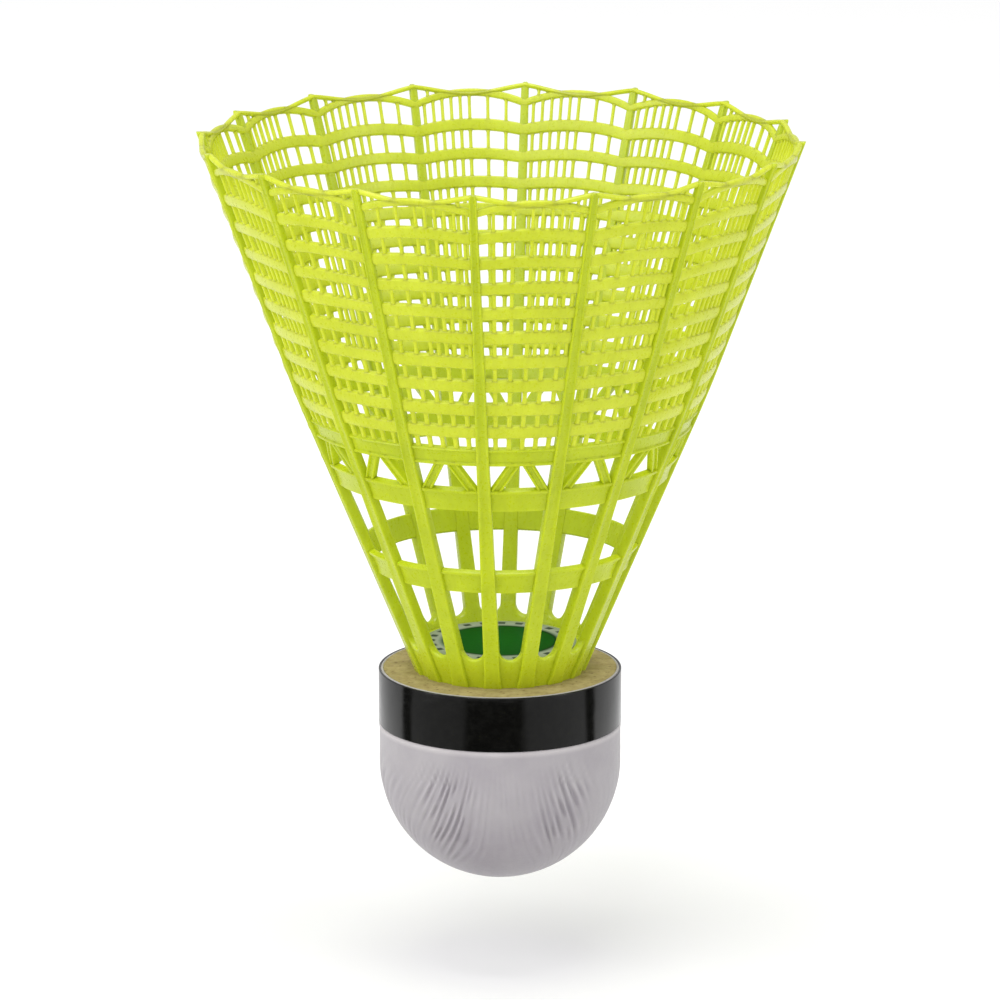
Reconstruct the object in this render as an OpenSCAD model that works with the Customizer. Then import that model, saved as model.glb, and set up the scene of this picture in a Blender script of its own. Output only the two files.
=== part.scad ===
// Badminton shuttlecock with a round-nosed cork head and a moulded nylon skirt.
// It stands nose down and skirt up. The origin is the lowest point of the nose,
// and +Z runs along the shuttlecock's axis towards the rim.

/* [Head] */
// Diameter of the head over the ribbon band
head_d = 26.5; // [25.5:0.1:28]
// Height from the nose to the flat top of the cork
head_h = 23.3; // [21:0.05:25]
// Height of the ribbon band
band_h = 6; // [4:0.1:7.5]
// Thickness of the ribbon band
band_t = 0.3; // [0.2:0.05:0.4]
// How far the band stands out from the leather below it
band_step = 0.15; // [0.05:0.05:0.2]
// Thickness of the leather cover
leather_t = 0.45; // [0.35:0.05:0.8]

/* [Stem] */
// Diameter of the stem that is glued into the cork
stem_d = 12; // [10:0.1:13]
// Depth of the stem in the cork
stem_depth = 8; // [6:0.1:10]
// Wall of the hollow stem
stem_wall = 0.8; // [0.6:0.1:1.5]
// Thickness of the glue around the stem
glue_film = 0.15; // [0.1:0.05:0.3]
// Height of the stem floor's upper face above the cork
floor_z = 2.7; // [2.2:0.1:3]
// Diameter of the round label on the stem floor
label_d = 16.6; // [15:0.1:17]
// Thickness of the label
label_t = 0.2; // [0.15:0.05:0.3]

/* [Skirt outline] */
// Rib crest radius at the cork
foot_r = 9.35; // [9.2:0.05:9.8]
// Rib crest radius at the bend in the ribs
bend_r = 22.6; // [21.5:0.1:23.5]
// Rib crest radius at the rim
rim_r = 32.65; // [31:0.05:33.5]
// Height of the bend in the ribs above the cork
bend_z = 31.25; // [31:0.05:31.6]
// Height of the rim's tips above the cork
rim_z = 58.5; // [58.3:0.1:59.5]

/* [Ribs] */
// Rib width at the collar
rib_w_foot = 1.75; // [1.4:0.05:1.8]
// Rib width at the bend
rib_w_bend = 1.3; // [1:0.05:1.5]
// Rib width at the rim
rib_w_rim = 0.8; // [0.6:0.05:1]
// Rib depth, crest to back, at the collar
rib_d_foot = 1.15; // [0.9:0.05:1.3]
// Rib depth at the bend
rib_d_bend = 0.9; // [0.85:0.05:1.2]
// Rib depth at the rim
rib_d_rim = 0.65; // [0.6:0.05:0.9]
// How far the rib crests stand out from the rings and the net
rib_proud = 0.35; // [0.2:0.05:0.5]

/* [Collar, rings and net] */
// Thickness of the collar wall
collar_wall = 0.9; // [0.8:0.05:1.2]
// Height of the window sills above the cork
sill_z = 3.5; // [3.4:0.05:3.6]
// Thickness of the lower ring and the truss band
ring_t = 0.5; // [0.4:0.05:0.55]
// Thickness of the net
net_t = 0.35; // [0.3:0.05:0.4]
// Lower edge of the lower ring
low_ring_z = 11.7; // [10:0.1:13]
// Height of the lower ring
low_ring_h = 2.5; // [2:0.1:3.2]
// Width of a diagonal strut in the truss band
strut_w = 0.8; // [0.6:0.05:1]
// Width of a net strand at the truss band
strand_w_low = 0.5; // [0.4:0.05:0.6]
// Width of a net strand at the rim
strand_w_rim = 0.36; // [0.3:0.02:0.45]
// Height of the highest hoop of the net, at a rib
top_hoop_z = 56; // [55.8:0.05:56.2]
// Rise from one hoop of the net to the next
hoop_pitch = 2.75; // [2.74:0.005:2.76]
// Height of the lowest hoop's band
hoop_h_low = 1.4; // [1:0.05:1.5]
// Height of the highest hoop's band
hoop_h_top = 0.7; // [0.5:0.05:0.9]
// How far the highest hoop arches up between two ribs
hoop_arch = 1.05; // [0.8:0.05:1.1]
// How far the rim dips between two ribs
rim_dip = 1.05; // [0.8:0.05:1.1]

/* [Hidden] */
$fn = 96;

n_ribs = 16;
cell_a = 360 / n_ribs;          // angle from rib to rib
nose_r = head_d / 2 - band_step; // radius of the leather, and of the round nose
cork_r = nose_r - leather_t;
leather_top_r = head_d / 2 - band_t;
stem_r = stem_d / 2;
stem_floor_t = 1;
collar_top_z = 4.95;            // the ribs rise from here
sill_r = collar_top_z - sill_z; // radius of the round window sills

// The truss band, from its lower ring to the bend
truss_ring_z = 22.1;            // lower edge of the band
truss_z = 24.7;                 // foot of the struts
upper_ring_z = 27.2;            // top of the struts
first_slot_z = 29.1;            // foot of the first row of slots
slot_drop = 0.15;               // those slots end this far below the lowest hoop

n_hoops = 10;                   // hoops of the net, counted down from the rim
hoop_fade = 0.52;               // each hoop arches this much of the one above it
n_plain_rows = 3;               // rows of even slots at the foot of the net
cell_slots = 6;                 // even slots from rib to rib
rim_t = 0.55;                   // height of the rim's own strand
rim_step = 0.15;                // the net's edge ends this far below the ribs' tips
side_gap = 0.1;                 // room between a panel's edge and its rib
eye_reach = 0.3;                // the rim's eyes end this far from the middle of a cell
eye_h = 1.3;                    // height of an eye beside its rib
side_cut = 0.2;                 // holes beside a rib are cut this far past the panel's edge

// Radius of the rib crests at height z above the cork
function crest_r(z) = z < bend_z ? foot_r + (bend_r - foot_r) * z / bend_z
                                 : bend_r + (rim_r - bend_r) * (z - bend_z) / (rim_z - bend_z);
// A value that runs from a to b between the collar and the bend, and on to c at the rim
function along(z, a, b, c) = z < bend_z ? a + (b - a) * (z - collar_top_z) / (bend_z - collar_top_z)
                                        : b + (c - b) * (z - bend_z) / (rim_z - bend_z);
function rib_w(z) = along(z, rib_w_foot, rib_w_bend, rib_w_rim);
function rib_d(z) = along(z, rib_d_foot, rib_d_bend, rib_d_rim);

// Outer face of the flat panel between two ribs, at the ribs
function wall_r(z) = crest_r(z) - rib_proud;
// Half the panel's clear width at height z
function half_w(z) = wall_r(z) * sin(cell_a / 2) - rib_w(z) / 2 - side_gap;

// The net's hoops: height at a rib, arch in mid cell and band height of hoop k
function hoop_z(k) = top_hoop_z - hoop_pitch * k;
function hoop_h(k) = hoop_h_top + (hoop_h_low - hoop_h_top) * min(1, k / (n_hoops - 4));
function arch(k) = hoop_arch * pow(hoop_fade, k);
// Middle of hoop k at the place f of a cell: f is -1 at one rib and 1 at the next
function hoop_mid(k, f) = hoop_z(k) + arch(k) * (1 - f * f);
// Upper edge of the net
function rim_edge(f) = rim_z - rim_step - rim_dip * (1 - f * f);
function strand_w(z) = strand_w_low + (strand_w_rim - strand_w_low) * (z - bend_z) / (rim_z - bend_z);

// Where the strands of a row stand, as places f in the cell. A plain row is even; a fine row
// has wide slots in its first half and slots half as wide in its second.
plain_row = [for (i = [0:cell_slots]) -1 + 2 * i / cell_slots];
fine_row = concat([for (i = [0:cell_slots / 2]) -1 + 2 * i / cell_slots],
                  [for (i = [1:cell_slots]) i / cell_slots]);

module round_nose(r, top) {
    // Half section of a plug with a round nose, standing on the centre of its nose ball
    intersection() {
        union() {
            translate([0, nose_r]) circle(r);
            translate([0, nose_r]) square([r, top - nose_r]);
        }
        square([r + 1, top]);
    }
}

module cork_core() {
    bore_r = stem_r + glue_film;
    bore_depth = stem_depth + glue_film;
    color("burlywood") rotate_extrude() difference() {
        round_nose(cork_r, head_h);
        translate([0, head_h - bore_depth]) square([bore_r, bore_depth + 1]);
    }
}

module leather_cover() {
    color("gainsboro") rotate_extrude() difference() {
        round_nose(nose_r, head_h);
        round_nose(cork_r, head_h + 1);
        translate([leather_top_r, head_h - band_h]) square([1, band_h + 1]);
    }
}

module head_band() {
    color([0.06, 0.06, 0.06]) translate([0, 0, head_h - band_h]) difference() {
        cylinder(h = band_h, r = head_d / 2);
        translate([0, 0, -1]) cylinder(h = band_h + 2, r = leather_top_r);
    }
}

module stem_glue() {
    // A cup of glue round the stem, with a bead under the stem floor
    bead_r = foot_r - rib_proud - collar_wall - 0.1;
    under_floor = floor_z - stem_floor_t;
    color("lightyellow") translate([0, 0, head_h]) rotate_extrude() polygon([
        [0, -stem_depth - glue_film], [stem_r + glue_film, -stem_depth - glue_film],
        [stem_r + glue_film, 0], [bead_r, 0], [bead_r, under_floor],
        [stem_r, under_floor], [stem_r, -stem_depth], [0, -stem_depth]]);
}

module collar_ridge() {
    // The foot of one rib, along +X on the outside of the collar
    root = rib_proud + collar_wall / 2;
    rotate([90, 0, 0]) linear_extrude(rib_w_foot, center = true) polygon([
        [crest_r(0) - root, 0], [crest_r(0), 0],
        [crest_r(collar_top_z), collar_top_z], [crest_r(collar_top_z) - root, collar_top_z]]);
}

module hollow_stem() {
    // Stem, floor and conical collar in one turned section
    foot_out = wall_r(0);
    top_out = wall_r(collar_top_z);
    under_floor = floor_z - stem_floor_t;
    rotate_extrude() polygon([
        [0, -stem_depth], [stem_r, -stem_depth], [stem_r, under_floor],
        [wall_r(under_floor) - collar_wall, under_floor], [foot_out - collar_wall, 0],
        [foot_out, 0], [top_out, collar_top_z], [top_out - collar_wall, collar_top_z],
        [wall_r(floor_z) - collar_wall, floor_z], [stem_r - stem_wall, floor_z],
        [stem_r - stem_wall, -stem_depth + stem_wall], [0, -stem_depth + stem_wall]]);
}

module stem_and_collar() {
    color([0.75, 0.8, 0.12]) translate([0, 0, head_h]) union() {
        difference() {
            hollow_stem();
            for (i = [0:n_ribs - 1]) rotate([0, 0, (i + 0.5) * cell_a])
                translate([stem_r, 0, collar_top_z]) rotate([0, 90, 0]) cylinder(h = stem_r, r = sill_r);
        }
        for (i = [0:n_ribs - 1]) rotate([0, 0, i * cell_a]) collar_ridge();
    }
}

module stem_label() {
    color("seagreen") translate([0, 0, head_h + floor_z]) cylinder(h = label_t, d = label_d);
}

// One level section of a rib along +X: a flat back and a crest rounded in steps
crest_steps = 6;
function rib_section(z) = let (back = crest_r(z) - rib_d(z), half = rib_w(z) / 2, bow = rib_d(z) * 0.6)
    concat([[back, -half, z]],
           [for (i = [0:crest_steps]) let (a = -90 + 180 * i / crest_steps)
               [crest_r(z) - bow + bow * cos(a), half * sin(a), z]],
           [[back, half, z]]);

module rib() {
    levels = [collar_top_z, bend_z, rim_z];
    n = crest_steps + 3;
    last = n * (len(levels) - 1);
    polyhedron(
        points = [for (z = levels) each rib_section(z)],
        faces = concat(
            [[for (i = [0:n - 1]) i]],
            [for (j = [0:len(levels) - 2], i = [0:n - 1])
                [n * j + i, n * (j + 1) + i, n * (j + 1) + (i + 1) % n, n * j + (i + 1) % n]],
            [[for (i = [n - 1:-1:0]) last + i]]));
}

module skirt_ribs() {
    color([0.78, 0.85, 0.2]) translate([0, 0, head_h])
        for (i = [0:n_ribs - 1]) rotate([0, 0, i * cell_a]) rib();
}

// A flat outline drawn in a panel's own plane becomes the wall between each two ribs. The
// plane starts at height z0 and leans out by the slope of the ribs there.
function lean(z0) = let (z1 = z0 + 1) (wall_r(z1) - wall_r(z0)) * cos(cell_a / 2);
function slant(z0) = sqrt(1 + lean(z0) * lean(z0));
function spot(f, z, z0) = [f * half_w(z), (z - z0) * slant(z0)];

module between_ribs(z0, thick) {
    for (i = [0:n_ribs - 1]) rotate([0, 0, (i + 0.5) * cell_a])
        translate([wall_r(z0) * cos(cell_a / 2), 0, head_h + z0])
        rotate([0, atan(lean(z0)), 0]) rotate([90, 0, 90])
        translate([0, 0, -thick]) linear_extrude(thick) children();
}

// A four-sided slot between the places f0 and f1, with half a strand left on each side of it.
// A slot beside a rib is open to the rib.
module slot(f0, f1, foot0, foot1, head0, head1, z0) {
    edge0 = f0 <= -1 ? -side_cut : strand_w(foot0) / 2;
    edge1 = f1 >= 1 ? -side_cut : strand_w(foot1) / 2;
    polygon([spot(f0, foot0, z0) + [edge0, 0], spot(f1, foot1, z0) - [edge1, 0],
             spot(f1, head1, z0) - [edge1, 0], spot(f0, head0, z0) + [edge0, 0]]);
}

module lower_ring() {
    z0 = low_ring_z;
    z1 = low_ring_z + low_ring_h;
    color([0.74, 0.8, 0.15]) between_ribs(z0, ring_t)
        polygon([spot(-1, z0, z0), spot(1, z0, z0), spot(1, z1, z0), spot(-1, z1, z0)]);
}

module truss_band() {
    z0 = truss_ring_z;
    low = truss_z;
    high = upper_ring_z;
    foot = spot(1, low, z0)[0];
    head = spot(1, high, z0);
    run = head[1] - low_run();
    aside = strut_w / 2 * norm([foot, run]) / run; // half a strut, measured level
    color([0.74, 0.8, 0.15]) between_ribs(z0, ring_t) difference() {
        polygon([spot(-1, z0, z0), spot(1, z0, z0), spot(1, bend_z, z0), spot(-1, bend_z, z0)]);
        polygon([[aside - foot, low_run()], [foot - aside, low_run()],
                 [0, head[1] - aside * run / foot]]);
        for (side = [-1, 1]) polygon([[side * head[0], head[1]], [side * aside, head[1]],
                                      [side * head[0], low_run() + aside * run / foot]]);
        slot_head = hoop_z(n_hoops - 1) - hoop_h(n_hoops - 1) / 2 - slot_drop;
        for (i = [0:cell_slots - 1])
            slot(plain_row[i], plain_row[i + 1], first_slot_z, first_slot_z, slot_head, slot_head, z0);
    }
}
function low_run() = (truss_z - truss_ring_z) * slant(truss_ring_z);

// The slots between hoop k + 1 and hoop k
module slot_row(k, places, z0) {
    for (i = [0:len(places) - 2]) {
        f0 = places[i];
        f1 = places[i + 1];
        slot(f0, f1, hoop_mid(k + 1, f0) + hoop_h(k + 1) / 2, hoop_mid(k + 1, f1) + hoop_h(k + 1) / 2,
             hoop_mid(k, f0) - hoop_h(k) / 2, hoop_mid(k, f1) - hoop_h(k) / 2, z0);
    }
}

module skirt_net() {
    z0 = bend_z;
    steps = 8;
    eye_foot = top_hoop_z + hoop_h_top / 2;
    color([0.85, 0.9, 0.3]) between_ribs(z0, net_t) difference() {
        // The rim's edge dips in a shallow curve from rib to rib
        polygon(concat([spot(-1, z0, z0), spot(1, z0, z0)],
                       [for (i = [0:steps]) let (f = 1 - 2 * i / steps)
                           spot(f, rim_edge(f), z0)]));
        for (k = [0:n_hoops - 2])
            slot_row(k, k < n_hoops - 1 - n_plain_rows ? fine_row : plain_row, z0);
        // A pointed eye beside each rib, between the rim and the highest hoop
        for (side = [-1, 1]) polygon([
            spot(side, eye_foot, z0) + [side * side_cut, 0],
            spot(side, eye_foot + eye_h, z0) + [side * side_cut, 0],
            spot(side * eye_reach, rim_edge(eye_reach) - rim_t / 2, z0)]);
    }
}

cork_core();
leather_cover();
head_band();
stem_glue();
stem_and_collar();
stem_label();
skirt_ribs();
lower_ring();
truss_band();
skirt_net();
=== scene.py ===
import math

import bmesh
import bpy
import numpy as np
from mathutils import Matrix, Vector, noise


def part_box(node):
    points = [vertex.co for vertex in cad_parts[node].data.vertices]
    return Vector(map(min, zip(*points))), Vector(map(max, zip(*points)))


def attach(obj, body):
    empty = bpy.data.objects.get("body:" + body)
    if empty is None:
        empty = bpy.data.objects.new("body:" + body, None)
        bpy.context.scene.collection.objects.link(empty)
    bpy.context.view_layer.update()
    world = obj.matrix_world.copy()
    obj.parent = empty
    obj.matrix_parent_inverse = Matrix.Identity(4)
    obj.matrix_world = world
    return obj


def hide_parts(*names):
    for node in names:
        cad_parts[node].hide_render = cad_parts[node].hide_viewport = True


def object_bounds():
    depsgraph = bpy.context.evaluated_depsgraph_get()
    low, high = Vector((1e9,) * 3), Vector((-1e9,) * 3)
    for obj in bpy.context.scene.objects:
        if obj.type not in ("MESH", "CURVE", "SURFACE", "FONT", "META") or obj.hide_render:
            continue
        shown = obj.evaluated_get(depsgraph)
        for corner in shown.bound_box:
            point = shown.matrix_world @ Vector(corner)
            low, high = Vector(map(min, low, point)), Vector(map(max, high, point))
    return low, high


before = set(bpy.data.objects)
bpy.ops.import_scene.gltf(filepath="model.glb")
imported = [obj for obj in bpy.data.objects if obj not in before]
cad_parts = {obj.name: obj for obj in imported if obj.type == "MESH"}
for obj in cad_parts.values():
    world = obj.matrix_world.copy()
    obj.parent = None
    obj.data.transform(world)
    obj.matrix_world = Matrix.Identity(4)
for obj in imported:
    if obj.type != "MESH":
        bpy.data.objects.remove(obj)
cad_lo, cad_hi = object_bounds()

# Heights and radii below are in millimetres. Heights are above the cork's flat top.
MM = 0.001
CORK_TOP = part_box("cork_core")[1][2] / MM
RIM_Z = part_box("skirt_ribs")[1][2] / MM - CORK_TOP
RIM_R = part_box("skirt_ribs")[1][0] / MM
BAND_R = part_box("head_band")[1][0] / MM
BAND_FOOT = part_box("head_band")[0][2] / MM - CORK_TOP
NOSE_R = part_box("leather_cover")[1][0] / MM
LABEL_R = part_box("stem_label")[1][0] / MM
FLOOR_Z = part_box("stem_label")[0][2] / MM - CORK_TOP

N_RIBS = 16
CELL = 2 * math.pi / N_RIBS

# Skirt outline: two straight slopes with a soft bend
FOOT_R = 9.35
LOW_SLOPE = 0.4233
BEND_Z = 31.3
BEND_SOFT = 1.0
HIGH_SLOPE = (RIM_R - FOOT_R - LOW_SLOPE * BEND_Z) / (RIM_Z - BEND_Z)

# Net: middle and height of each row of slots, from the truss band up
ROWS = [(29.85, 1.25), (32.5, 1.25), (35.2, 1.3), (37.9, 1.35), (40.7, 1.4),
        (43.5, 1.45), (46.3, 1.5), (49.1, 1.6), (51.95, 1.65), (54.9, 1.7)]
TOP_HOOP = (56.25, 0.8)         # middle and height of the highest hoop at a rib
PLAIN_ROWS = 4                  # the lowest rows have even slots
PLAIN_PLACES = [i / 6 for i in range(1, 6)]     # strands, as shares of a cell's width
FINE_PLACES = [1 / 6, 2 / 6, 3 / 6] + [i / 12 for i in range(7, 12)]
EYE_PLACES = [9.5 / 12, 10.5 / 12]   # short strands between the highest hoop and the rim
# Rise of each hoop from the ribs to the middle of a cell, from the top hoop down
ARCHES = [1.15, 0.6, 0.42, 0.3, 0.2, 0.14, 0.09, 0.06, 0.03, 0.0]
RIM_DIP = 0.95                  # the rim sags this far from the ribs to the middle of a cell
RIM_ROD = 0.52                  # height of the rim's rod
RIM_DROP = 0.08                 # the rod's top lies this far below the ribs' tips
HOOP_STEPS = 14                 # points of a hoop in each cell


def crest_r(z):
    """Radius of the rib crests at height z."""
    turn = BEND_SOFT * np.logaddexp(0, (z - BEND_Z) / BEND_SOFT)
    return FOOT_R + LOW_SLOPE * z + (HIGH_SLOPE - LOW_SLOPE) * turn


def wall_r(z):
    """Radius of the rings' and the hoops' outer faces: the ribs stand out from them."""
    return crest_r(z) - np.interp(z, [0, BEND_Z, RIM_Z], [0.4, 0.3, 0.22])


def rib_w(z):
    """Width of a rib at height z."""
    return np.interp(z, [0, 1.2, BEND_Z, RIM_Z], [2.0, 1.72, 1.3, 0.82])


def rib_d(z):
    """Depth of a rib at height z."""
    return np.interp(z, [0, BEND_Z, RIM_Z], [1.25, 1.0, 0.72])


def rib_groove(z):
    """Depth of the shallow groove along a rib's crest."""
    return np.interp(z, [0, 12, 24, RIM_Z], [0.02, 0.06, 0.14, 0.08])


# ---------------------------------------------------------------- mesh building

class Shells:
    """Collects closed shells, in millimetres, for one piece."""

    def __init__(self):
        self.verts = []
        self.faces = []

    def loft(self, sections, closed=False):
        """Joins sections of equal point counts. Open ends are capped."""
        sections = np.asarray(sections, float)
        n, m, _ = sections.shape
        base = len(self.verts)
        self.verts.extend(map(tuple, sections.reshape(-1, 3)))
        for i in range(n if closed else n - 1):
            a = base + i * m
            b = base + (i + 1) % n * m
            for j in range(m):
                k = (j + 1) % m
                self.faces.append((a + j, a + k, b + k, b + j))
        if not closed:
            self.faces.append(tuple(base + j for j in range(m - 1, -1, -1)))
            self.faces.append(tuple(base + (n - 1) * m + j for j in range(m)))

    def piece(self, name, material, sharp=40):
        """Makes the mesh, standing on the cork's top, and hangs it on the part."""
        mesh = bpy.data.meshes.new(name)
        verts = np.array(self.verts)
        verts[:, 2] += CORK_TOP
        mesh.from_pydata((verts * MM).tolist(), [], self.faces)
        shape = bmesh.new()
        shape.from_mesh(mesh)
        bmesh.ops.recalc_face_normals(shape, faces=shape.faces)
        shape.to_mesh(mesh)
        shape.free()
        mesh.polygons.foreach_set("use_smooth", [True] * len(mesh.polygons))
        mesh.set_sharp_from_angle(angle=math.radians(sharp))
        mesh.materials.append(material)
        obj = bpy.data.objects.new(name, mesh)
        bpy.context.scene.collection.objects.link(obj)
        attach(obj, "root")
        return obj


def round_bar(half, depth, corner, crown=0.0, groove=0.0):
    """A bar's section as (across, out) points: face at 0, back at -depth, round corners."""
    groove_half = half * 0.42
    corner = min(corner, half * 0.95, depth * 0.48)
    points = []
    for side, edge, start in ((1, 0, 0), (-1, 0, 90), (-1, -depth, 180), (1, -depth, 270)):
        mid_s = side * (half - corner)
        mid_h = edge - corner if edge == 0 else edge + corner
        for step in range(4):
            a = math.radians(start + 30 * step)
            points.append((mid_s + corner * math.cos(a), mid_h + corner * math.sin(a)))
        if side == 1 and edge == 0 and crown:
            points.append((0.0, crown))
        if side == 1 and edge == 0 and groove:
            points += [(groove_half, -groove), (-groove_half, -groove)]
    return points


def slope_at(z):
    """How much the skirt's radius grows for each millimetre of height, at height z."""
    step = 0.1
    return (crest_r(z + step) - crest_r(z - step)) / (2 * step)


def along_wall(path, sections, closed=False):
    """Places one section at each (angle, height, radius) of a path that lies on the skirt."""
    angle, z, r = (np.asarray(v, float) for v in zip(*path))
    p = np.stack([r * np.cos(angle), r * np.sin(angle), z], axis=1)
    slope = slope_at(z)
    out = np.stack([np.cos(angle), np.sin(angle), -slope], axis=1)
    out /= np.linalg.norm(out, axis=1)[:, None]
    if closed:
        run = np.roll(p, -1, axis=0) - np.roll(p, 1, axis=0)
    else:
        run = np.gradient(p, axis=0)
    run /= np.linalg.norm(run, axis=1)[:, None]
    across = np.cross(out, run)
    across /= np.linalg.norm(across, axis=1)[:, None]
    sections = np.asarray(sections, float)
    return (p[:, None, :] + across[:, None, :] * sections[:, :, :1]
            + out[:, None, :] * sections[:, :, 1:])


def level(sections, angle, heights):
    """Slides each section's points along the rib at this angle until they lie at one height."""
    for points, z in zip(sections, heights):
        slope = slope_at(z)
        rise = z - points[:, 2]
        points += rise[:, None] * np.array([slope * math.cos(angle), slope * math.sin(angle), 1.0])
    return sections


def hoop_path(height):
    """A closed path round the skirt. height(f) is its height at the place f of a cell, -1 to 1."""
    path = []
    for i in range(N_RIBS * HOOP_STEPS):
        f = 2 * (i % HOOP_STEPS) / HOOP_STEPS - 1
        z = height(f)
        path.append((i / HOOP_STEPS * CELL, z, wall_r(z)))
    return path


def turned(shells, profile, segments):
    """Turns a closed (radius, height) profile about the axis."""
    angles = np.arange(segments) * 2 * math.pi / segments
    profile = np.asarray(profile, float)
    sections = [np.stack([profile[:, 0] * math.cos(a), profile[:, 0] * math.sin(a), profile[:, 1]], axis=1)
                for a in angles]
    shells.loft(sections, closed=True)


# ---------------------------------------------------------------- materials

# Sockets of the Mix node for colours
FACTOR_IN = 0
A_IN = 6
B_IN = 7
COLOUR_OUT = 2

SMOOTH = 0.2                    # the crease attribute on smooth leather: ridges are lower, creases higher


def material(name):
    """A new node material: returns it, its node tree, its Principled shader and a maker of nodes."""
    mat = bpy.data.materials.new(name)
    mat.use_nodes = True
    tree = mat.node_tree
    shader = tree.nodes["Principled BSDF"]

    def add(kind, **values):
        node = tree.nodes.new(kind)
        for key, value in values.items():
            setattr(node, key, value)
        return node

    return mat, tree, shader, add


def place_at(tree, add, scale):
    """Object coordinates in millimetres, scaled."""
    coords = add("ShaderNodeTexCoord")
    mapping = add("ShaderNodeMapping")
    mapping.inputs["Scale"].default_value = [s / MM for s in scale]
    tree.links.new(coords.outputs["Object"], mapping.inputs["Vector"])
    return mapping.outputs["Vector"]


def ramp(tree, add, source, stops):
    """Turns a number into a colour, by stops of (position, colour)."""
    node = add("ShaderNodeValToRGB")
    while len(node.color_ramp.elements) < len(stops):
        node.color_ramp.elements.new(0.5)
    for element, (position, colour) in zip(node.color_ramp.elements, stops):
        element.position = position
        element.color = (*colour, 1)
    tree.links.new(source, node.inputs["Fac"])
    return node.outputs["Color"]


def mixed(tree, add, factor, a, b, blend="MIX"):
    """Blends two colours. Each value is an output socket or a plain number or colour."""
    node = add("ShaderNodeMix", data_type="RGBA", blend_type=blend)
    for value, key in ((factor, FACTOR_IN), (a, A_IN), (b, B_IN)):
        if isinstance(value, bpy.types.NodeSocket):
            tree.links.new(value, node.inputs[key])
        else:
            node.inputs[key].default_value = value
    return node.outputs[COLOUR_OUT]


def bumps(tree, add, shader, layers):
    """Stacks bump layers, each (height source, distance in mm, strength)."""
    normal = None
    for height, distance, strength in layers:
        bump = add("ShaderNodeBump")
        bump.inputs["Distance"].default_value = distance * MM
        bump.inputs["Strength"].default_value = strength
        tree.links.new(height, bump.inputs["Height"])
        if normal:
            tree.links.new(normal, bump.inputs["Normal"])
        normal = bump.outputs["Normal"]
    tree.links.new(normal, shader.inputs["Normal"])


def noise_at(tree, add, vector, scale, detail, rough=0.5):
    """A noise texture's value."""
    node = add("ShaderNodeTexNoise")
    node.inputs["Scale"].default_value = scale
    node.inputs["Detail"].default_value = detail
    node.inputs["Roughness"].default_value = rough
    tree.links.new(vector, node.inputs["Vector"])
    return node.outputs["Fac"]


def nylon_material(name, base, deep):
    """Neon nylon: cloudy colour, faint flow marks along the moulding, handling scuffs and a faint painted
    glow.
    """
    mat, tree, shader, add = material(name)
    at = place_at(tree, add, (1, 1, 1))
    cloud = noise_at(tree, add, at, 0.22, 4)
    colour = ramp(tree, add, cloud, [(0.3, deep), (0.7, base)])
    flow = noise_at(tree, add, place_at(tree, add, (2.4, 2.4, 0.25)), 1.0, 3)
    streak = ramp(tree, add, flow, [(0.35, (0.94, 0.94, 0.92)), (0.65, (1.0, 1.0, 1.0))])
    tree.links.new(mixed(tree, add, 1.0, colour, streak, "MULTIPLY"), shader.inputs["Base Color"])
    scuff = noise_at(tree, add, at, 2.6, 6, 0.7)
    rough = ramp(tree, add, scuff, [(0.35, (0.24,) * 3), (0.75, (0.42,) * 3)])
    tree.links.new(rough, shader.inputs["Roughness"])
    shader.inputs["IOR"].default_value = 1.5
    shader.inputs["Subsurface Weight"].default_value = 0.45
    shader.inputs["Subsurface Radius"].default_value = (1.0, 1.0, 0.25)
    shader.inputs["Subsurface Scale"].default_value = 0.8 * MM
    # Painted glow: the nylon gives off a little yellow-green light of its own.
    shader.inputs["Emission Color"].default_value = (0.60, 0.68, 0.03, 1)
    shader.inputs["Emission Strength"].default_value = 0.04
    bumps(tree, add, shader, [(flow, 0.05, 0.3), (scuff, 0.015, 0.15)])
    return mat


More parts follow.
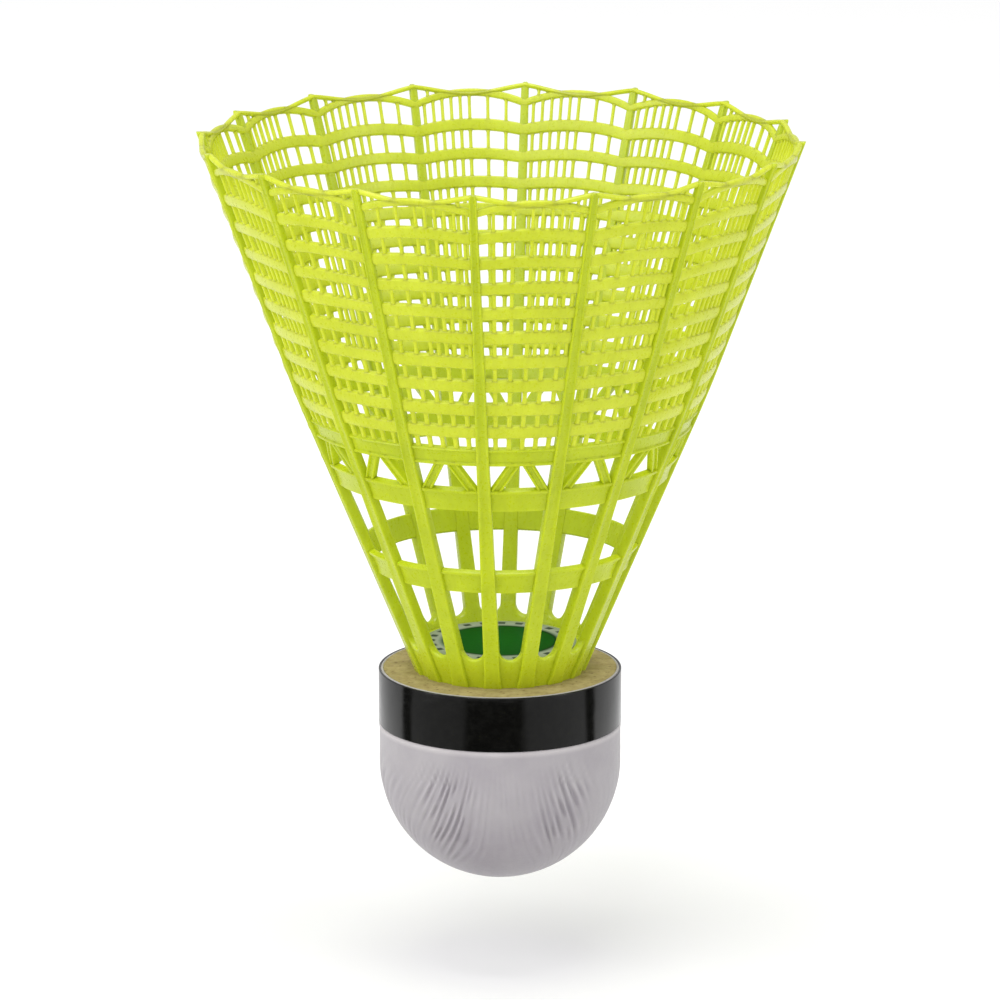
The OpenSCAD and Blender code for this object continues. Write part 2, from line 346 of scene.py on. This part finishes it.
def leather_material():
    """White bonded leather: fine pores, random grey soiling, painted shade in the creases and towards the
    nose, painted highlights on the ridges and just below the band, and a soft sheen.
    """
    mat, tree, shader, add = material("White_Leather")
    at = place_at(tree, add, (1, 1, 1))
    soil = noise_at(tree, add, at, 0.16, 5, 0.6)
    colour = ramp(tree, add, soil, [(0.3, (0.36, 0.334, 0.362)), (0.7, (0.425, 0.402, 0.42))])
    # Painted shade darkens the leather towards the nose, and a painted highlight brightens it just below
    # the band.
    height = add("ShaderNodeSeparateXYZ")
    tree.links.new(at, height.inputs["Vector"])
    low = add("ShaderNodeMapRange")
    low.inputs["From Min"].default_value = 0.0
    low.inputs["From Max"].default_value = CORK_TOP + BAND_FOOT
    tree.links.new(height.outputs["Z"], low.inputs["Value"])
    nose = ramp(tree, add, low.outputs["Result"], [
        (0.0, (0.76, 0.74, 0.77)), (0.75, (1.0, 1.0, 1.0)),
        (0.955, (1.0, 1.0, 1.0)), (0.98, (1.3, 1.3, 1.26))])
    colour = mixed(tree, add, 1.0, colour, nose, "MULTIPLY")
    # Painted shade darkens the creases and a painted highlight brightens the ridges, following the crease
    # attribute.
    crease = add("ShaderNodeAttribute", attribute_name="crease")
    crease_shade_ridge_highlight = ramp(tree, add, crease.outputs["Fac"], [
        (0.0, (1.14, 1.14, 1.14)), (SMOOTH, (1.0, 1.0, 1.0)), (0.85, (0.83, 0.82, 0.835))])
    tree.links.new(mixed(tree, add, 1.0, colour, crease_shade_ridge_highlight, "MULTIPLY"), shader.inputs["Base Color"])
    pores = add("ShaderNodeTexVoronoi", feature="DISTANCE_TO_EDGE")
    pores.inputs["Scale"].default_value = 2.2
    tree.links.new(at, pores.inputs["Vector"])
    grain = noise_at(tree, add, at, 3.2, 5, 0.65)
    rough = ramp(tree, add, grain, [(0.3, (0.42,) * 3), (0.75, (0.62,) * 3)])
    tree.links.new(rough, shader.inputs["Roughness"])
    shader.inputs["Sheen Weight"].default_value = 0.25
    shader.inputs["Sheen Roughness"].default_value = 0.4
    bumps(tree, add, shader, [(pores.outputs["Distance"], 0.05, 0.35), (grain, 0.06, 0.35)])
    return mat


def band_material():
    """Glossy black ribbon: slightly wavy, with hair scratches and a little dust."""
    mat, tree, shader, add = material("Black_Ribbon")
    at = place_at(tree, add, (1, 1, 1))
    dust = noise_at(tree, add, at, 1.4, 7, 0.75)
    colour = ramp(tree, add, dust, [(0.45, (0.003, 0.003, 0.0026)), (0.8, (0.009, 0.009, 0.008))])
    tree.links.new(colour, shader.inputs["Base Color"])
    scratch = noise_at(tree, add, place_at(tree, add, (0.5, 0.5, 7.0)), 1.0, 4, 0.6)
    rough = ramp(tree, add, scratch, [(0.4, (0.07,) * 3), (0.75, (0.2,) * 3)])
    tree.links.new(rough, shader.inputs["Roughness"])
    shader.inputs["IOR"].default_value = 1.48
    wave = noise_at(tree, add, at, 0.18, 2)
    bumps(tree, add, shader, [(wave, 0.25, 0.3), (scratch, 0.01, 0.3)])
    return mat


def cork_material():
    """Cut cork: pale grain with darker pores and brown specks."""
    mat, tree, shader, add = material("Cut_Cork")
    at = place_at(tree, add, (1, 1, 1))
    grain = noise_at(tree, add, at, 0.9, 6, 0.7)
    colour = ramp(tree, add, grain, [
        (0.3, (0.31, 0.225, 0.085)), (0.52, (0.45, 0.36, 0.155)), (0.75, (0.54, 0.45, 0.215))])
    pores = add("ShaderNodeTexVoronoi")
    pores.inputs["Scale"].default_value = 1.1
    tree.links.new(at, pores.inputs["Vector"])
    speck = ramp(tree, add, pores.outputs["Distance"], [
        (0.05, (0.45, 0.36, 0.28)), (0.22, (1.0, 1.0, 1.0))])
    tree.links.new(mixed(tree, add, 1.0, colour, speck, "MULTIPLY"), shader.inputs["Base Color"])
    shader.inputs["Roughness"].default_value = 0.85
    bumps(tree, add, shader, [(grain, 0.15, 0.6), (pores.outputs["Distance"], 0.1, 0.4)])
    return mat


def glue_material():
    """Clear, slightly yellow adhesive with small bubbles."""
    mat, tree, shader, add = material("Clear_Glue")
    at = place_at(tree, add, (1, 1, 1))
    cloud = noise_at(tree, add, at, 0.8, 4)
    tree.links.new(ramp(tree, add, cloud, [(0.3, (0.68, 0.58, 0.34)), (0.7, (0.8, 0.74, 0.52))]),
                   shader.inputs["Base Color"])
    bubbles = add("ShaderNodeTexVoronoi")
    bubbles.inputs["Scale"].default_value = 2.0
    tree.links.new(at, bubbles.inputs["Vector"])
    shader.inputs["Roughness"].default_value = 0.25
    shader.inputs["Subsurface Weight"].default_value = 0.3
    shader.inputs["Subsurface Scale"].default_value = MM
    bumps(tree, add, shader, [(bubbles.outputs["Distance"], 0.1, 0.3), (cloud, 0.1, 0.3)])
    return mat


def label_material():
    """Green paper disc with a pale outer ring and a row of dark dashes on it."""
    mat, tree, shader, add = material("Green_Label")
    at = place_at(tree, add, (1, 1, 0))
    length = add("ShaderNodeVectorMath", operation="LENGTH")
    tree.links.new(at, length.inputs[0])
    radius = add("ShaderNodeMath", operation="DIVIDE")
    radius.inputs[1].default_value = LABEL_R
    tree.links.new(length.outputs["Value"], radius.inputs[0])
    rings = ramp(tree, add, radius.outputs["Value"], [
        (0.0, (0.0, 0.105, 0.002)), (0.70, (0.0, 0.085, 0.002)), (0.74, (0.0, 0.03, 0.002)),
        (0.78, (0.20, 0.27, 0.19)), (0.82, (0.36, 0.40, 0.33)), (1.0, (0.30, 0.36, 0.24))])
    split = add("ShaderNodeSeparateXYZ")
    tree.links.new(at, split.inputs["Vector"])
    turn = add("ShaderNodeMath", operation="ARCTAN2")
    tree.links.new(split.outputs["Y"], turn.inputs[0])
    tree.links.new(split.outputs["X"], turn.inputs[1])
    dashes = 24.0
    wave = add("ShaderNodeMath", operation="MULTIPLY")
    wave.inputs[1].default_value = dashes
    tree.links.new(turn.outputs["Value"], wave.inputs[0])
    sine = add("ShaderNodeMath", operation="SINE")
    tree.links.new(wave.outputs["Value"], sine.inputs[0])
    dash = ramp(tree, add, sine.outputs["Value"], [(0.1, (0.0, 0.0, 0.0)), (0.3, (1.0, 1.0, 1.0))])
    edge = ramp(tree, add, radius.outputs["Value"], [
        (0.84, (0.0, 0.0, 0.0)), (0.86, (1.0, 1.0, 1.0)), (0.93, (1.0, 1.0, 1.0)), (0.95, (0.0, 0.0, 0.0))])
    marks = mixed(tree, add, 1.0, dash, edge, "MULTIPLY")
    colour = mixed(tree, add, marks, rings, (0.05, 0.07, 0.05, 1))
    fibre = noise_at(tree, add, place_at(tree, add, (1, 1, 1)), 1.6, 6, 0.7)
    worn = ramp(tree, add, fibre, [(0.3, (0.82, 0.82, 0.82)), (0.7, (1.0, 1.0, 1.0))])
    tree.links.new(mixed(tree, add, 1.0, colour, worn, "MULTIPLY"), shader.inputs["Base Color"])
    shader.inputs["Roughness"].default_value = 0.55
    shader.inputs["Specular IOR Level"].default_value = 0.03
    bumps(tree, add, shader, [(fibre, 0.04, 0.4)])
    return mat


# ---------------------------------------------------------------- skirt

def make_hub(nylon):
    """Stem in the cork, floor of the collar, and the collar with its round window sills."""
    shells = Shells()
    stem_r = 6.0
    foot = -8.0
    wall = 0.8
    chamfer = 0.4
    middle = 0.02               # the stem's closed end leaves this tiny hole on the axis
    under = FLOOR_Z - 1.0       # underside of the collar's floor
    reach = wall_r(FLOOR_Z) - 0.5
    turned(shells, [(middle, foot), (stem_r - chamfer, foot), (stem_r, foot + chamfer), (stem_r, under),
                    (reach, under), (reach, FLOOR_Z), (stem_r - wall, FLOOR_Z),
                    (stem_r - wall, foot + wall), (middle, foot + wall)], 96)

    sill = 3.35                 # height of the lowest point of a window's round sill
    sill_half = 1.28            # half the width of a window, and the radius of its sill
    top = 5.0
    thick = 0.95
    edge = 0.3                  # radius of the collar's rounded upper edge
    foot_rise = 0.5             # the collar widens a little below this height
    foot_wide = 0.12
    per_cell = 24
    sections = []
    for i in range(N_RIBS * per_cell):
        angle = i / per_cell * CELL
        aside = abs((i / per_cell) % 1 - 0.5) * CELL * wall_r(sill + 1)
        inside = max(0.0, 1 - (aside / sill_half) ** 2)
        z = sill + sill_half * (1 - math.sqrt(inside)) if aside < sill_half else top
        z = min(z, top)
        profile = [(wall_r(0) + foot_wide, 0.0), (wall_r(foot_rise), foot_rise)]
        for t in (0.25, 0.5, 0.75):
            h = foot_rise + (z - foot_rise - edge) * t
            profile.append((wall_r(h), h))
        for a in (0, 30, 60, 90):
            h = z - edge + edge * math.sin(math.radians(a))
            profile.append((wall_r(h) - edge * (1 - math.cos(math.radians(a))), h))
        for a in (90, 60, 30, 0):
            h = z - edge + edge * math.sin(math.radians(a))
            profile.append((wall_r(h) - thick + edge * (1 - math.cos(math.radians(a))), h))
        profile += [(wall_r(h) - thick, h) for h in ((z - edge) * 0.6, 0.0)]
        sections.append([(r * math.cos(angle), r * math.sin(angle), h) for r, h in profile])
    shells.loft(sections, closed=True)
    hub = shells.piece("Skirt_Hub", nylon, sharp=50)
    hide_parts("stem_and_collar")


def make_ribs(nylon):
    """The ribs, from the cork's top to the tips of the rim."""
    shells = Shells()
    tip = 0.45                  # the tip is rounded over this height
    fine_to = 8                 # sections are closer together up to this height
    corner = 0.16
    bends = [RIM_Z - tip, RIM_Z - tip * 0.6, RIM_Z - tip * 0.25, RIM_Z]
    heights = list(np.arange(0, fine_to, 0.8)) + list(np.arange(fine_to, RIM_Z - tip, 1.6))
    heights += bends[:3] + [RIM_Z - 0.03, RIM_Z]
    tips = np.interp(heights, bends, [1, 0.96, 0.8, 0.5])
    for i in range(N_RIBS):
        path = [(i * CELL, z, crest_r(z)) for z in heights]
        sections = [round_bar(rib_w(z) / 2 * t, rib_d(z), corner, groove=rib_groove(z))
                    for z, t in zip(heights, tips)]
        shells.loft(level(along_wall(path, sections), i * CELL, heights))
    ribs = shells.piece("Skirt_Ribs", nylon, sharp=35)
    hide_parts("skirt_ribs")


def flat_ring(shells, z0, z1, depth, bead_top=0.0, bead_foot=0.0, bead_w=0.5):
    """A conical ring between two heights, with a raised bead along one edge or both."""
    half = (z1 - z0) / 2 * math.hypot(1, LOW_SLOPE)
    corner = 0.12
    face = -0.12                # the ring's face lies this far behind the skirt's wall
    side = face * 0.4 - corner  # where the face's round corner meets the ring's edge
    brow = face * 0.2           # where that corner meets the face or the bead
    dome = 0.04                 # the bead's middle stands this far above its flanks
    root = face + 0.02          # where the bead rises from the face
    section = [(half, -depth + corner), (half, side), (half - corner * 0.4, brow + bead_top)]
    if bead_top:
        section += [(half - bead_w * 0.35, bead_top + dome), (half - bead_w * 0.75, bead_top),
                    (half - bead_w, root)]
    section += [(half * 0.45, face), (0.0, face), (-half * 0.45, face)]
    if bead_foot:
        section += [(-half + bead_w, root), (-half + bead_w * 0.75, bead_foot),
                    (-half + bead_w * 0.35, bead_foot + dome)]
    section += [(-half + corner * 0.4, brow + bead_foot), (-half, side), (-half, -depth + corner),
                (-half + corner, -depth), (half - corner, -depth)]
    middle = (z0 + z1) / 2
    path = hoop_path(lambda f: middle)
    shells.loft(along_wall(path, [section] * len(path), closed=True), closed=True)


def make_lower_ring(nylon):
    """The ring above the windows."""
    shells = Shells()
    flat_ring(shells, 11.75, 14.25, 0.7, bead_top=0.06)
    ring = shells.piece("Skirt_Lower_Ring", nylon)
    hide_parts("lower_ring")


def strut_section(half, depth):
    """A strut with two raised edges and a shallow groove between them."""
    groove = -0.2
    chamfer = -0.1
    outer = half * 0.84         # the raised edges reach from here
    inner = half * 0.6          # to here
    floor = half * 0.44         # half the width of the groove's floor
    return [(half, -depth), (half, chamfer), (outer, 0.0), (inner, 0.0), (floor, groove),
            (-floor, groove), (-inner, 0.0), (-outer, 0.0), (-half, chamfer), (-half, -depth)]


def make_truss(nylon):
    """Two rings with a zigzag of grooved struts between them."""
    shells = Shells()
    low_top = 24.25
    high_foot = 27.25
    sink = 0.2                  # the struts' ends sink this far into the rings
    flat_ring(shells, 21.75, low_top, 0.75, bead_top=0.1)
    flat_ring(shells, high_foot, 29.2, 0.7, bead_top=0.03, bead_foot=0.08, bead_w=0.4)
    foot_z = low_top - sink
    head_z = high_foot + sink
    foot_aside = 2.6            # a strut's ends are this far from the middle of the cell
    head_aside = 0.6
    strut = strut_section(0.52, 0.7)
    for i in range(N_RIBS):
        for side in (-1, 1):
            path = []
            for t in np.linspace(0, 1, 5):
                z = foot_z + (head_z - foot_z) * t
                aside = side * (foot_aside + (head_aside - foot_aside) * t)
                r = wall_r(z)
                path.append(((i + 0.5) * CELL + aside / r, z, r))
            shells.loft(along_wall(path, [strut] * len(path)))
    truss = shells.piece("Skirt_Truss_Band", nylon)
    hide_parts("truss_band")


def hoop_at(k, f):
    """Middle height of hoop k, counted down from the rim, at the place f of a cell."""
    if k == 0:
        middle = TOP_HOOP[0]
    else:
        above = ROWS[-k]
        below = ROWS[-k - 1]
        middle = (above[0] - above[1] / 2 + below[0] + below[1] / 2) / 2
    return middle + ARCHES[k] * (1 - f * f)


def hoop_height(k):
    """Height of hoop k's band."""
    if k == 0:
        return TOP_HOOP[1]
    above = ROWS[-k]
    below = ROWS[-k - 1]
    return above[0] - above[1] / 2 - below[0] - below[1] / 2


def rim_at(f):
    """Middle height of the rim's rod at the place f of a cell: highest at the ribs."""
    dip = 0.5 * (1 - f * f) + 0.5 * math.cos(math.pi * f / 2) ** 2
    return RIM_Z - RIM_ROD / 2 - RIM_DROP - RIM_DIP * dip


def add_strand(shells, angle, z0, z1, width, depth, behind):
    """A short strand between two hoops, flared where it meets them."""
    flare = 0.28
    neck = flare * 0.4
    corner = 0.16
    length = z1 - z0
    # (distance up the strand, share of its width)
    stations = [(0, 1.9), (neck, 1.35), (flare, 1.0), (length / 2, 0.94),
                (length - flare, 1.0), (length - neck, 1.35), (length, 1.9)]
    path = [(angle, z0 + s, wall_r(z0 + s) - behind) for s, _ in stations]
    shells.loft(along_wall(path, [round_bar(width / 2 * w, depth, corner) for _, w in stations]))


def make_net(nylon):
    """Hoops, strands and the scalloped rim."""
    shells = Shells()
    n_hoops = len(ROWS)
    fuller = 1.04               # a hoop's height, as a share of the gap between two rows
    for k in range(n_hoops):
        half = hoop_height(k) / 2
        depth = np.interp(k, [0, n_hoops - 1], [0.55, 0.7])
        path = hoop_path(lambda f: hoop_at(k, f))
        section = round_bar(half * fuller, depth, 0.2, crown=0.06)
        shells.loft(along_wall(path, [section] * len(path), closed=True), closed=True)
    path = hoop_path(rim_at)
    rod = round_bar(RIM_ROD / 2, 0.6, 0.25)
    shells.loft(along_wall(path, [rod] * len(path), closed=True), closed=True)

    sink = 0.15                 # a strand's ends sink this far into the hoops
    behind = 0.1                # the strands lie this far behind the hoops' faces
    for row, (middle, height) in enumerate(ROWS):
        k = n_hoops - 1 - row   # the hoop above this row
        places = PLAIN_PLACES if row < PLAIN_ROWS else FINE_PLACES
        width = np.interp(row, [0, n_hoops - 1], [0.52, 0.36])
        for i in range(N_RIBS):
            for place in places:
                f = 2 * place - 1
                z1 = hoop_at(k, f) - hoop_height(k) / 2 + sink
                if row == 0:
                    z0 = middle - height / 2 - sink
                else:
                    z0 = hoop_at(k + 1, f) + hoop_height(k + 1) / 2 - sink
                add_strand(shells, (i + place) * CELL, z0, z1, width, 0.42, behind)
    for i in range(N_RIBS):
        for place in EYE_PLACES:
            f = 2 * place - 1
            z0 = hoop_at(0, f) + TOP_HOOP[1] / 2 - sink
            z1 = rim_at(f) - RIM_ROD / 2 + sink
            add_strand(shells, (i + place) * CELL, z0, z1, 0.34, 0.4, behind)
    net = shells.piece("Skirt_Net", nylon)
    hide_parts("skirt_net")


# ---------------------------------------------------------------- head

# Pleats in the leather, in patches: (angle round the head, spread, strength, polar angle of their foot)
FRONT = -85                     # the side that faces the camera
PLEAT_PATCHES = [(FRONT - 28, 13, 1.0, 54), (FRONT + 33, 12, 1.0, 62), (FRONT + 5, 13, 0.07, 50),
                 (FRONT - 60, 10, 0.2, 56), (20, 16, 0.6, 56), (78, 13, 0.9, 60),
                 (135, 15, 0.8, 54), (190, 12, 0.4, 62)]
N_PLEATS = 84
RIDGE = 0.25                    # a ridge stands out by at most this share of the pleats' depth


def pleat_depth(angle, polar):
    """Depth of the leather's pleats, -RIDGE to 1. polar is the angle from the nose, in degrees."""
    high = np.interp(polar, [30, 40, 86, 94, 103], [0.0, 1.0, 1.0, 0.6, 0.0])
    low = np.interp(polar, [0, 6, 25, 55, 72], [0.1, 0.3, 0.25, 0.22, 0.0])
    patch = 0.03
    for centre, spread, strength, foot in PLEAT_PATCHES:
        off = (math.degrees(angle) - centre + 180) % 360 - 180
        reach = np.interp(polar, [foot - 14, foot + 6], [0.08, 1.0])
        patch += strength * reach * math.exp(-(off / spread) ** 2)
    # In the front half the pleats turn away from the middle of the front as they run down
    turn = angle - math.radians(FRONT)
    slant = -(0.52 + 0.5 * math.cos(turn) - 0.3 * math.sin(turn)) * math.sin(2 * turn)
    rise = max(polar, 40) - 65
    a = angle - slant * math.radians(0.75 * rise - 0.003 * rise ** 2)
    cos_a, sin_a = math.cos(a), math.sin(a)
    wander = noise.noise(Vector((cos_a * 6, sin_a * 6, polar * 0.025)))
    wave = 0.5 + 0.5 * math.sin(N_PLEATS * a + 3.0 * wander)
    fine = max(0.0, 1 - 4.5 * abs(noise.noise(Vector((cos_a * 24, sin_a * 24, polar * 0.04)))))
    broken = 0.8 + 1.4 * noise.noise(Vector((cos_a * 13, sin_a * 13 + 5, polar * 0.1)))
    depth = high * patch * (1.3 * wave ** 1.3 - 0.3) + 0.3 * low * fine
    return max(-RIDGE, min(1.0, depth * max(0.0, broken) * 1.2))


def make_leather(leather):
    """The leather cover, a thin cup with pleats towards the nose."""
    shells = Shells()
    segments = 900
    thick = 0.45
    step_r = BAND_R - 0.3       # the leather is pressed in under the band
    nose_z = NOSE_R - CORK_TOP  # height of the centre of the round nose
    flat_z = 0.1 - CORK_TOP     # the nose is pressed flat here
    pleat = 0.2
    roll = 0.05                 # the leather bulges this much just below the band
    profile = []                # (radius, height, polar angle or None), outside from the nose up
    for polar in np.concatenate([[0.15, 1.5, 3.5], np.linspace(6, 90, 86)]):
        a = math.radians(polar)
        profile.append((NOSE_R * math.sin(a), nose_z - NOSE_R * math.cos(a), polar))
    straight = BAND_FOOT - 0.7 - nose_z   # height of the cylinder between the nose and the bulge
    profile += [(NOSE_R, nose_z + straight * t, 90 + 15 * t) for t in (0.2, 0.4, 0.6, 0.8, 1)]
    profile += [(NOSE_R + roll, BAND_FOOT - 0.4, None), (NOSE_R + roll, BAND_FOOT - 0.2, None),
                (NOSE_R - 0.02, BAND_FOOT - 0.04, None), (step_r, BAND_FOOT + 0.05, None),
                (step_r, -0.1, None), (step_r - 0.08, 0.0, None), (NOSE_R - thick + 0.05, 0.0, None),
                (NOSE_R - thick, -0.1, None), (NOSE_R - thick, nose_z, None)]
    for polar in (60, 30, 10, 0.5):
        a = math.radians(polar)
        profile.append(((NOSE_R - thick) * math.sin(a), nose_z - (NOSE_R - thick) * math.cos(a), None))
    rings = []
    creases = []
    for r, z, polar in profile:
        ring = []
        a = math.radians(min(polar, 90)) if polar is not None else 0.0
        for i in range(segments):
            angle = 2 * math.pi * i / segments
            crease = pleat_depth(angle, polar) if polar is not None else 0.0
            out = r - pleat * crease * math.sin(a)
            up = z + pleat * crease * math.cos(a)
            ring.append((out * math.cos(angle), out * math.sin(angle), max(up, flat_z)))
            creases.append(SMOOTH + (1 - SMOOTH) * crease)
        rings.append(ring)
    shells.loft(rings)
    cover = shells.piece("Leather_Cover", leather, sharp=70)
    cover.data.attributes.new("crease", "FLOAT", "POINT").data.foreach_set("value", creases)
    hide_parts("leather_cover")


def make_band(ribbon):
    """The ribbon band: one strip round the head whose end overlaps its start."""
    shells = Shells()
    seam = math.radians(118)
    lap = math.radians(16)
    ramp_up = 0.12              # the strip rises onto its start over this angle
    lift = 0.1
    inset = 0.06
    thick = 0.24
    half = -BAND_FOOT / 2
    section = round_bar(half, thick, 0.09)
    sections = []
    for t in np.linspace(0, 2 * math.pi + lap, 300):
        angle = seam + t
        ease = np.interp(t, [2 * math.pi - ramp_up, 2 * math.pi], [0, 1])
        r = BAND_R - inset + lift * ease
        sections.append([((r + out) * math.cos(angle), (r + out) * math.sin(angle), -half + across)
                         for across, out in section])
    shells.loft(sections)
    band = shells.piece("Head_Band", ribbon)
    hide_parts("head_band")


# ---------------------------------------------------------------- build

def dress(node, mat):
    """Gives a CAD node its material."""
    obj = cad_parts[node]
    obj.data.materials.clear()
    obj.data.materials.append(mat)


# The hub, lower ring, ribs and truss get a darker, greener copy of the nylon: painted shade. The net keeps
# the brighter colour.
nylon_painted_shade = nylon_material("Neon_Nylon_Painted_Shade", (0.51, 0.60, 0.012), (0.44, 0.53, 0.008))
nylon_high = nylon_material("Neon_Nylon_High", (0.62, 0.69, 0.035), (0.55, 0.62, 0.02))
make_hub(nylon_painted_shade)
make_lower_ring(nylon_painted_shade)
make_ribs(nylon_painted_shade)
make_truss(nylon_painted_shade)
make_net(nylon_high)
make_leather(leather_material())
make_band(band_material())
dress("cork_core", cork_material())
dress("stem_glue", glue_material())
dress("stem_label", label_material())


# ---------------------------------------------------------------- stage, light and camera

# Painted reflections: the bright and dark strips that glossy pieces see in the floor round them, (azimuth
# in degrees from the front, brightness)
PAINTED_REFLECTIONS = [(-180, 1.0), (-98, 1.0), (-94, 0.03), (-86, 0.03), (-82, 0.42), (-30, 0.3), (-24, 0.02),
          (24, 0.02), (30, 0.4), (88, 0.6), (92, 0.03), (100, 0.03), (104, 1.0), (180, 1.0)]


def make_floor():
    """A wide, flat, pale floor a little below the nose. To glossy rays it shows painted reflections: bright
    and dark strips like a studio's lights.
    """
    drop = 10 * MM
    half = 6.0
    mesh = bpy.data.meshes.new("Floor")
    corners = [(-half, -half, -drop), (half, -half, -drop), (half, half, -drop), (-half, half, -drop)]
    mesh.from_pydata(corners, [], [(0, 1, 2, 3)])
    mat, tree, shader, add = material("Pale_Floor")
    shader.inputs["Base Color"].default_value = (0.94, 0.94, 0.94, 1)
    shader.inputs["Emission Color"].default_value = (1, 1, 1, 1)
    shader.inputs["Emission Strength"].default_value = 0.1
    shader.inputs["Roughness"].default_value = 0.9
    shader.inputs["Specular IOR Level"].default_value = 0.0
    split = add("ShaderNodeSeparateXYZ")
    tree.links.new(place_at(tree, add, (1, 1, 1)), split.inputs["Vector"])
    flip = add("ShaderNodeMath", operation="MULTIPLY")
    flip.inputs[1].default_value = -1.0
    tree.links.new(split.outputs["Y"], flip.inputs[0])
    turn = add("ShaderNodeMath", operation="ARCTAN2")
    tree.links.new(split.outputs["X"], turn.inputs[0])
    tree.links.new(flip.outputs["Value"], turn.inputs[1])
    share = add("ShaderNodeMapRange")
    share.inputs["From Min"].default_value = -math.pi
    share.inputs["From Max"].default_value = math.pi
    tree.links.new(turn.outputs["Value"], share.inputs["Value"])
    stops = [((a + 180) / 360, (v, v, v)) for a, v in PAINTED_REFLECTIONS]
    # Painted reflections: glossy rays see these strips, while other rays see the plain pale floor.
    reflection_paint = add("ShaderNodeEmission")
    tree.links.new(ramp(tree, add, share.outputs["Result"], stops), reflection_paint.inputs["Color"])
    rays = add("ShaderNodeLightPath")
    mix = add("ShaderNodeMixShader")
    tree.links.new(rays.outputs["Is Glossy Ray"], mix.inputs["Fac"])
    tree.links.new(shader.outputs["BSDF"], mix.inputs[1])
    tree.links.new(reflection_paint.outputs["Emission"], mix.inputs[2])
    tree.links.new(mix.outputs["Shader"], tree.nodes["Material Output"].inputs["Surface"])
    mesh.materials.append(mat)
    floor = bpy.data.objects.new("Floor", mesh)
    bpy.context.scene.collection.objects.link(floor)


def add_light(name, energy, size, azimuth, elevation, distance):
    """A soft rectangular light aimed at the middle of the object."""
    light = bpy.data.lights.new(name, "AREA")
    light.shape = "RECTANGLE"
    light.size, light.size_y = size
    light.energy = energy
    obj = bpy.data.objects.new(name, light)
    bpy.context.scene.collection.objects.link(obj)
    aim = Vector((cad_lo + cad_hi) / 2)
    a, e = math.radians(azimuth), math.radians(elevation)
    back = Vector((math.sin(a) * math.cos(e), -math.cos(a) * math.cos(e), math.sin(e)))
    obj.location = aim + back * distance
    obj.rotation_mode = "QUATERNION"
    obj.rotation_quaternion = back.to_track_quat("Z", "Y")


def make_light():
    """A white world and four soft area lights."""
    world = bpy.data.worlds.new("Studio")
    bpy.context.scene.world = world
    world.use_nodes = True
    background = world.node_tree.nodes["Background"]
    background.inputs["Color"].default_value = (1, 1, 1, 1)
    background.inputs["Strength"].default_value = 0.62
    add_light("Top_Light", 7.0, (0.7, 0.7), -10, 84, 1.3)
    add_light("Front_Light", 4.5, (1.0, 1.0), -22, 38, 1.4)
    add_light("Left_Light", 2.0, (0.3, 0.9), -62, 22, 1.0)
    add_light("Right_Light", 1.4, (0.3, 0.9), 68, 22, 1.0)


def make_camera(azimuth=5.0, elevation=13.8, distance=0.75, lens=250.0):
    """The camera looks slightly down on the object from the front."""
    data = bpy.data.cameras.new("Camera")
    data.sensor_width = 36
    data.lens = lens
    cam = bpy.data.objects.new("Camera", data)
    bpy.context.scene.collection.objects.link(cam)
    aim = Vector((cad_lo + cad_hi) / 2) + Vector((0, 0, 1.0 * MM))
    a, e = math.radians(azimuth), math.radians(elevation)
    back = Vector((math.sin(a) * math.cos(e), -math.cos(a) * math.cos(e), math.sin(e)))
    cam.location = aim + back * distance
    cam.rotation_mode = "QUATERNION"
    cam.rotation_quaternion = back.to_track_quat("Z", "Y")
    bpy.context.scene.camera = cam


make_floor()
make_light()
make_camera()
bpy.context.scene.view_settings.view_transform = "Standard"
